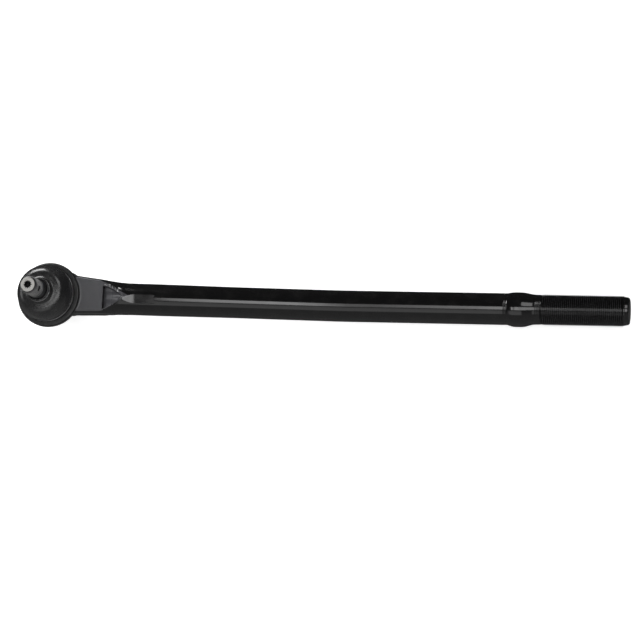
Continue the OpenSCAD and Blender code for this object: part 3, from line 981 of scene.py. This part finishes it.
def rod_paint():
    """Black dip paint on a forging: glossy on the bar, grainy on the neck and eye; the pad's top and the
    pocket are painted paler as painted sheen."""
    material, tree = start_material("rod_paint")
    if tree is None:
        return material
    colours = bpy.context.scene.tie_rod.colours
    place = add_node(tree, "ShaderNodeTexCoord").outputs["Object"]
    along = add_node(tree, "ShaderNodeSeparateXYZ", {0: place}).outputs["X"]
    forged = remap(tree, along, 0.050, 0.060, 1.0, 0.0)
    # painted sheen: mask of the pad's top and the pocket, which are painted paler where they catch the light
    sheen = pad_sheen_mask(tree, place)
    peel = use_group(tree, skin_group(), Grain_Scale=700.0, Wave_Scale=170.0, Wave_Share=0.6)
    scale = use_group(tree, skin_group(), Grain_Scale=1900.0, Wave_Scale=420.0, Wave_Share=0.5)
    wear = use_group(tree, wear_group(), Amount=0.55, Breakup_Scale=1100.0)["Mask"]
    dust = use_group(tree, dust_group(), Amount=0.05, Scale=90.0)["Mask"]
    specks = maths(tree, "MULTIPLY", remap(tree, noise(tree, place, 1300.0, 3, 0.7), 0.5, 0.62), sheen)
    thin = maths(tree, "ADD", maths(tree, "MULTIPLY", wear, 0.7), maths(tree, "MULTIPLY", specks, 0.35), True)
    # painted sheen laid over the black paint on the pad's top and in the pocket
    coat = mixed(tree, sheen, opaque(colours.paint), opaque(colours.pad_sheen))
    worn = mixed(tree, thin, coat, opaque(colours.bare_iron))
    colour = mixed(tree, dust, worn, opaque(colours.dust))
    gloss = maths(tree, "ADD", 0.09, maths(tree, "MULTIPLY", peel["Mottle"], 0.03))
    rough = maths(tree, "ADD", gloss, maths(tree, "MULTIPLY", forged, 0.2))
    rough = maths(tree, "ADD", rough, maths(tree, "MULTIPLY", wear, 0.12), True)
    smooth_height = maths(tree, "MULTIPLY", peel["Height"], 0.06)
    height = maths(tree, "ADD", smooth_height, maths(tree, "MULTIPLY", scale["Height"], forged))
    principled(tree, {"Base Color": colour, "Roughness": rough, "IOR": 1.5}, height, 0.00012)
    return material


def boot_rubber():
    """Moulded black rubber: satin, with a fine grain, a broad mottle and a little dust."""
    material, tree = start_material("boot_rubber")
    if tree is None:
        return material
    colours = bpy.context.scene.tie_rod.colours
    skin = use_group(tree, skin_group(), Grain_Scale=2600.0, Wave_Scale=130.0, Wave_Share=0.35)
    dust = use_group(tree, dust_group(), Amount=0.16, Scale=150.0)["Mask"]
    colour = mixed(tree, dust, opaque(colours.rubber), opaque(colours.dust))
    rough = maths(tree, "ADD", 0.2, maths(tree, "MULTIPLY", skin["Mottle"], 0.08))
    rough = maths(tree, "ADD", rough, maths(tree, "MULTIPLY", dust, 0.5), True)
    principled(tree, {"Base Color": colour, "Roughness": rough, "IOR": 1.52}, skin["Height"], 0.00005)
    return material


def pin_hole_shade(tree, place):
    """Mask of painted shade in and round the split pin hole: the distance from the hole's axis, frayed by
    noise.
    """
    stud = bpy.context.scene.tie_rod.stud
    part = add_node(tree, "ShaderNodeSeparateXYZ", {0: place}).outputs
    across = maths(tree, "SUBTRACT", maths(tree, "MULTIPLY", part["Y"], math.cos(stud.pin_hole_turn)),
                   maths(tree, "MULTIPLY", part["X"], math.sin(stud.pin_hole_turn)))
    up = maths(tree, "SUBTRACT", part["Z"], (STUD_HIGH.z - 9) * MM)
    fray = maths(tree, "MULTIPLY", noise(tree, place, 700.0), 0.0024)
    frayed = maths(tree, "ADD", from_axis(tree, across, up), fray)
    return remap(tree, frayed, 0.0036, 0.0031)


def stud_steel():
    """Oiled dark steel with lathe marks; the end face is freshly cut and bright. The star drive's walls and
    floor, a band round the stud just below the end face and a frayed patch round the split pin hole are
    painted near black as painted shade.
    """
    material, tree = start_material("stud_steel")
    if tree is None:
        return material
    colours = bpy.context.scene.tie_rod.colours
    place = add_node(tree, "ShaderNodeTexCoord").outputs["Object"]
    up = add_node(tree, "ShaderNodeSeparateXYZ", {0: place}).outputs["Z"]
    tip = STUD_HIGH.z * MM
    fresh = remap(tree, up, tip - 0.00022, tip - 0.00008)
    skin = use_group(tree, skin_group(), Grain_Scale=1800.0, Wave_Scale=300.0, Wave_Share=0.4)
    marks = use_group(tree, lathe_group(), Rings_per_Metre=4200.0)["Height"]
    wear = use_group(tree, wear_group(), Amount=0.6, Breakup_Scale=1500.0)["Mask"]
    bright = maths(tree, "MAXIMUM", fresh, maths(tree, "MULTIPLY", wear, 0.5))
    tint = mixed(tree, skin["Mottle"], opaque(colours.stud), opaque([c * 0.7 for c in colours.stud]))
    metal = mixed(tree, bright, tint, opaque(colours.bright_steel))
    part = add_node(tree, "ShaderNodeSeparateXYZ", {0: place}).outputs
    # painted shade: the walls and floor of the star drive, and at seven tenths a band just below the end face
    core = remap(tree, from_axis(tree, part["X"], part["Y"]), 0.0036, 0.0038, 1.0, 0.0)
    band = maths(tree, "MULTIPLY", remap(tree, up, tip - 0.0018, tip - 0.0013), 0.7)
    shaded = maths(tree, "MULTIPLY", maths(tree, "MAXIMUM", core, band),
                   remap(tree, up, tip - 0.0002, tip - 0.0004))
    near_tip = maths(tree, "MULTIPLY", shaded, remap(tree, up, tip - 0.0040, tip - 0.0038))
    painted_shade = maths(tree, "MAXIMUM", pin_hole_shade(tree, place), near_tip)
    # painted shade: these places take the rubber's near-black colour
    colour = mixed(tree, painted_shade, metal, opaque(colours.rubber))
    rough = maths(tree, "SUBTRACT", 0.5, maths(tree, "MULTIPLY", bright, 0.08), True)
    height = maths(tree, "ADD", marks, maths(tree, "MULTIPLY", skin["Height"], 0.5))
    principled(tree, {"Base Color": colour, "Metallic": 1.0, "Roughness": rough}, height, 0.00003)
    return material


def plain_steel(name, roughness, lightness):
    """Steel wire or strip with a slight mottle."""
    material, tree = start_material(name)
    if tree is None:
        return material
    skin = use_group(tree, skin_group(), Grain_Scale=2500.0, Wave_Scale=500.0, Wave_Share=0.4)
    light = (lightness, lightness, lightness * 1.02, 1.0)
    dark = (lightness * 0.7, lightness * 0.7, lightness * 0.7, 1.0)
    colour = mixed(tree, skin["Mottle"], light, dark)
    rough = maths(tree, "ADD", roughness, maths(tree, "MULTIPLY", skin["Mottle"], 0.1), True)
    principled(tree, {"Base Color": colour, "Metallic": 1.0, "Roughness": rough}, skin["Height"], 0.00001)
    return material


def clip_steel():
    """Spring wire of the base clip."""
    return plain_steel("clip_steel", 0.28, 0.32)


def ring_steel():
    """Spring wire of the neck ring."""
    return plain_steel("ring_steel", 0.28, 0.38)


def zinc(name, wave_scale):
    """Zinc plate with a yellow passivate: cloudy in colour and gloss, bright on its edges."""
    material, tree = start_material(name)
    if tree is None:
        return material
    colours = bpy.context.scene.tie_rod.colours
    skin = use_group(tree, skin_group(), Grain_Scale=2200.0, Wave_Scale=wave_scale, Wave_Share=0.4)
    wear = use_group(tree, wear_group(), Amount=0.5, Breakup_Scale=1200.0)["Mask"]
    cloudy = mixed(tree, skin["Mottle"], opaque(colours.zinc), opaque([c * 0.72 for c in colours.zinc]))
    colour = mixed(tree, wear, cloudy, opaque(colours.bright_steel))
    rough = maths(tree, "ADD", 0.3, maths(tree, "MULTIPLY", skin["Mottle"], 0.16), True)
    principled(tree, {"Base Color": colour, "Metallic": 1.0, "Roughness": rough}, skin["Height"], 0.00003)
    return material


def plate_zinc():
    """Zinc plate of the cover."""
    return zinc("plate_zinc", 160.0)


def nipple_zinc():
    """Zinc plate of the nipple."""
    return zinc("nipple_zinc", 400.0)


def polymer(name, lightness):
    """Natural polymer of the ball's seats: waxy, with a faint grease film."""
    material, tree = start_material(name)
    if tree is None:
        return material
    base = [c * lightness for c in bpy.context.scene.tie_rod.colours.polymer]
    skin = use_group(tree, skin_group(), Grain_Scale=1600.0, Wave_Scale=220.0, Wave_Share=0.6)
    colour = mixed(tree, skin["Mottle"], opaque(base), opaque([c * 0.82 for c in base]))
    rough = maths(tree, "ADD", 0.32, maths(tree, "MULTIPLY", skin["Mottle"], 0.15), True)
    principled(tree, {"Base Color": colour, "Roughness": rough}, skin["Height"], 0.00003)
    return material


# ---------------------------------------------------------------- stage


def softbox(name, place, aim, width, length, radiance):
    """Rectangular area light at a place in millimetres that faces another. Its power is radiance times pi
    times area."""
    data = bpy.data.lights.new(name, "AREA")
    data.shape = "RECTANGLE"
    data.size, data.size_y = length * MM, width * MM
    data.energy = radiance * math.pi * width * length * MM * MM
    lamp = bpy.data.objects.new(name, data)
    bpy.context.scene.collection.objects.link(lamp)
    away = (Vector(place) - Vector(aim)).normalized()
    side = (Vector((1, 0, 0)) - away.x * away).normalized()
    turn = Matrix((side, away.cross(side), away)).transposed()
    lamp.matrix_world = Matrix.Translation(Vector(place) * MM) @ turn.to_4x4()
    return lamp


class TIEROD_OT_stage(bpy.types.Operator):
    """Camera, floor and studio light"""

    bl_idname = "tierod.stage"
    bl_label = "Stage"

    def execute(self, context):
        stage = context.scene.tie_rod.stage
        x, y = math.sin(stage.lean_x), math.sin(stage.lean_y)
        back = Vector((x, y, math.sqrt(1 - x * x - y * y)))
        level = (Vector((1, 0, 0)) - back.x * back).normalized()
        upward = back.cross(level)
        right = math.cos(stage.roll) * level + math.sin(stage.roll) * upward
        top = -math.sin(stage.roll) * level + math.cos(stage.roll) * upward
        data = bpy.data.cameras.new("camera")
        data.lens, data.sensor_width = stage.lens, 36.0
        camera = bpy.data.objects.new("camera", data)
        context.scene.collection.objects.link(camera)
        turn = Matrix((right, top, back)).transposed().to_4x4()
        camera.matrix_world = Matrix.Translation(Vector(stage.target) + back * stage.distance) @ turn
        data.clip_start, data.clip_end = 0.05, 50.0
        context.scene.camera = camera
        self.floor(context, stage)
        self.lights(context)
        return {"FINISHED"}

    def floor(self, context, stage):
        """Pale floor just under the grease nipple."""
        level, reach = NIPPLE_LOW.z - 0.3, 6000.0
        corners = np.array([[(-reach, -reach, level), (reach, -reach, level)],
                            [(-reach, reach, level), (reach, reach, level)]], float)
        mesh = bpy.data.meshes.new("floor")
        mesh.from_pydata(corners.reshape(-1, 3) * MM, [], [(0, 1, 3, 2)])
        floor = bpy.data.objects.new("floor", mesh)
        context.scene.collection.objects.link(floor)
        material, tree = start_material("floor")
        place = add_node(tree, "ShaderNodeTexCoord").outputs["Object"]
        cloud = noise(tree, place, 2.0, 2)
        pale = opaque(stage.floor_colour)
        colour = mixed(tree, cloud, pale, opaque([c * 0.985 for c in stage.floor_colour]))
        rays = add_node(tree, "ShaderNodeLightPath").outputs
        lit = add_node(tree, "ShaderNodeBsdfDiffuse", {"Color": colour})
        glow = add_node(tree, "ShaderNodeEmission", {"Color": colour, "Strength": 0.8})
        seen = add_node(tree, "ShaderNodeAddShader", {0: lit.outputs[0], 1: glow.outputs[0]})
        across = add_node(tree, "ShaderNodeSeparateXYZ", {0: place}).outputs["Y"]
        strength = remap(tree, across, -0.12, 0.03, 0.3, 0.03)
        dim = add_node(tree, "ShaderNodeEmission", {"Color": (1.0, 1.0, 1.0, 1.0), "Strength": strength})
        both = add_node(tree, "ShaderNodeMixShader",
                        {0: rays["Is Glossy Ray"], 1: seen.outputs[0], 2: dim.outputs[0]})
        add_node(tree, "ShaderNodeOutputMaterial", {"Surface": both.outputs[0]})
        mesh.materials.append(material)

    def lights(self, context):
        """A long key card overhead, a dimmer panel beside it, a soft side light, and a dim grey surround."""
        world = bpy.data.worlds.new("studio")
        world.use_nodes = True
        tree = world.node_tree
        tree.nodes.clear()
        rays = add_node(tree, "ShaderNodeLightPath").outputs
        direction = add_node(tree, "ShaderNodeTexCoord").outputs["Generated"]
        across = add_node(tree, "ShaderNodeSeparateXYZ", {0: direction}).outputs["Y"]
        strength = remap(tree, across, -0.75, 0.05, 0.32, 0.04)
        seen = add_node(tree, "ShaderNodeBackground", {"Color": (1, 1, 1, 1), "Strength": 1.0})
        dim = add_node(tree, "ShaderNodeBackground", {"Color": (1, 1, 1, 1), "Strength": strength})
        both = add_node(tree, "ShaderNodeMixShader",
                        {0: rays["Is Camera Ray"], 1: dim.outputs[0], 2: seen.outputs[0]})
        add_node(tree, "ShaderNodeOutputWorld", {"Surface": both.outputs[0]})
        context.scene.world = world
        self.key_card(context)
        middle, eye = (222, -15, 0), (0, 0, 20)
        softbox("side_panel", (-284, -1165, 1955), middle, 1100, 1600, 0.85)
        softbox("far_light", (815, 1056, 1780), eye, 950, 880, 3.0)
        softbox("top_light", (-175, 340, 150), eye, 150, 220, 14.0)
        softbox("end_light", (-1500, 260, 900), eye, 900, 900, 2.2)
        context.scene.view_settings.view_transform = "Standard"

    def key_card(self, context):
        """Glowing card over the rod. Its level isn't even: a list of places along the card, each with its
        level, makes the long highlight on the bar rise, fade at the bend and return towards the shank."""
        low, high, height = (-900.0, -470.0), (1300.0, 330.0), 2200.0
        corners = np.array([[(low[0], low[1], height), (high[0], low[1], height)],
                            [(low[0], high[1], height), (high[0], high[1], height)]])
        mesh = bpy.data.meshes.new("key_card")
        mesh.from_pydata(corners.reshape(-1, 3) * MM, [], [(0, 2, 3, 1)])
        card = bpy.data.objects.new("key_card", mesh)
        context.scene.collection.objects.link(card)
        material, tree = start_material("key_card")
        place = add_node(tree, "ShaderNodeTexCoord").outputs["Object"]
        along = add_node(tree, "ShaderNodeSeparateXYZ", {0: place}).outputs["X"]
        share = add_node(tree, "ShaderNodeMapRange",
                         {"Value": along, "From Min": low[0] * MM, "From Max": high[0] * MM})
        ramp = add_node(tree, "ShaderNodeValToRGB", {"Fac": share.outputs["Result"]})
        stops = [(-900, 0.1), (-560, 0.2), (-530, 0.4), (-506, 3.8), (-393, 5.0), (-325, 5.9), (-285, 5.2),
                 (-250, 1.9), (-214, 0.9), (-172, 1.4), (-122, 1.9), (-71, 2.6), (-21, 3.0), (12, 3.0),
                 (66, 5.6), (110, 4.0), (150, 3.2), (460, 3.6),
                 (1300, 4.0)]
        brightest = max(level for _, level in stops)
        elements = ramp.color_ramp.elements
        for at, level in stops[1:-1]:
            elements.new((at - low[0]) / (high[0] - low[0])).color = opaque([level / brightest] * 3)
        elements[0].color = opaque([stops[0][1] / brightest] * 3)
        elements[-1].color = opaque([stops[-1][1] / brightest] * 3)
        glow = add_node(tree, "ShaderNodeEmission", {"Color": ramp.outputs["Color"], "Strength": brightest})
        add_node(tree, "ShaderNodeOutputMaterial", {"Surface": glow.outputs[0]})
        mesh.materials.append(material)


class TIEROD_PT_panel(bpy.types.Panel):
    """Lists the steps that build the tie rod end"""

    bl_label = "Tie Rod End"
    bl_idname = "TIEROD_PT_panel"
    bl_space_type = "VIEW_3D"
    bl_region_type = "UI"
    bl_category = "Tie Rod End"

    def draw(self, context):
        for step in STEPS:
            self.layout.operator(step.bl_idname)


SETTINGS = (RodSizes, StudSizes, SealSizes, Colours, StageSizes, TieRodSettings)
STEPS = (TIEROD_OT_stage, TIEROD_OT_eye, TIEROD_OT_bar, TIEROD_OT_shank_thread, TIEROD_OT_stud,
         TIEROD_OT_boot,
         TIEROD_OT_clips, TIEROD_OT_cover, TIEROD_OT_nipple, TIEROD_OT_inner_parts)


def register():
    for kind in (*SETTINGS, *STEPS, TIEROD_PT_panel):
        bpy.utils.register_class(kind)
    bpy.types.Scene.tie_rod = PointerProperty(type=TieRodSettings)


def unregister():
    del bpy.types.Scene.tie_rod
    for kind in reversed((*SETTINGS, *STEPS, TIEROD_PT_panel)):
        bpy.utils.unregister_class(kind)


def main():
    """Builds the stage and every piece."""
    register()
    for step in STEPS:
        group, name = step.bl_idname.split(".")
        getattr(getattr(bpy.ops, group), name)()


if __name__ == "__main__":
    main()
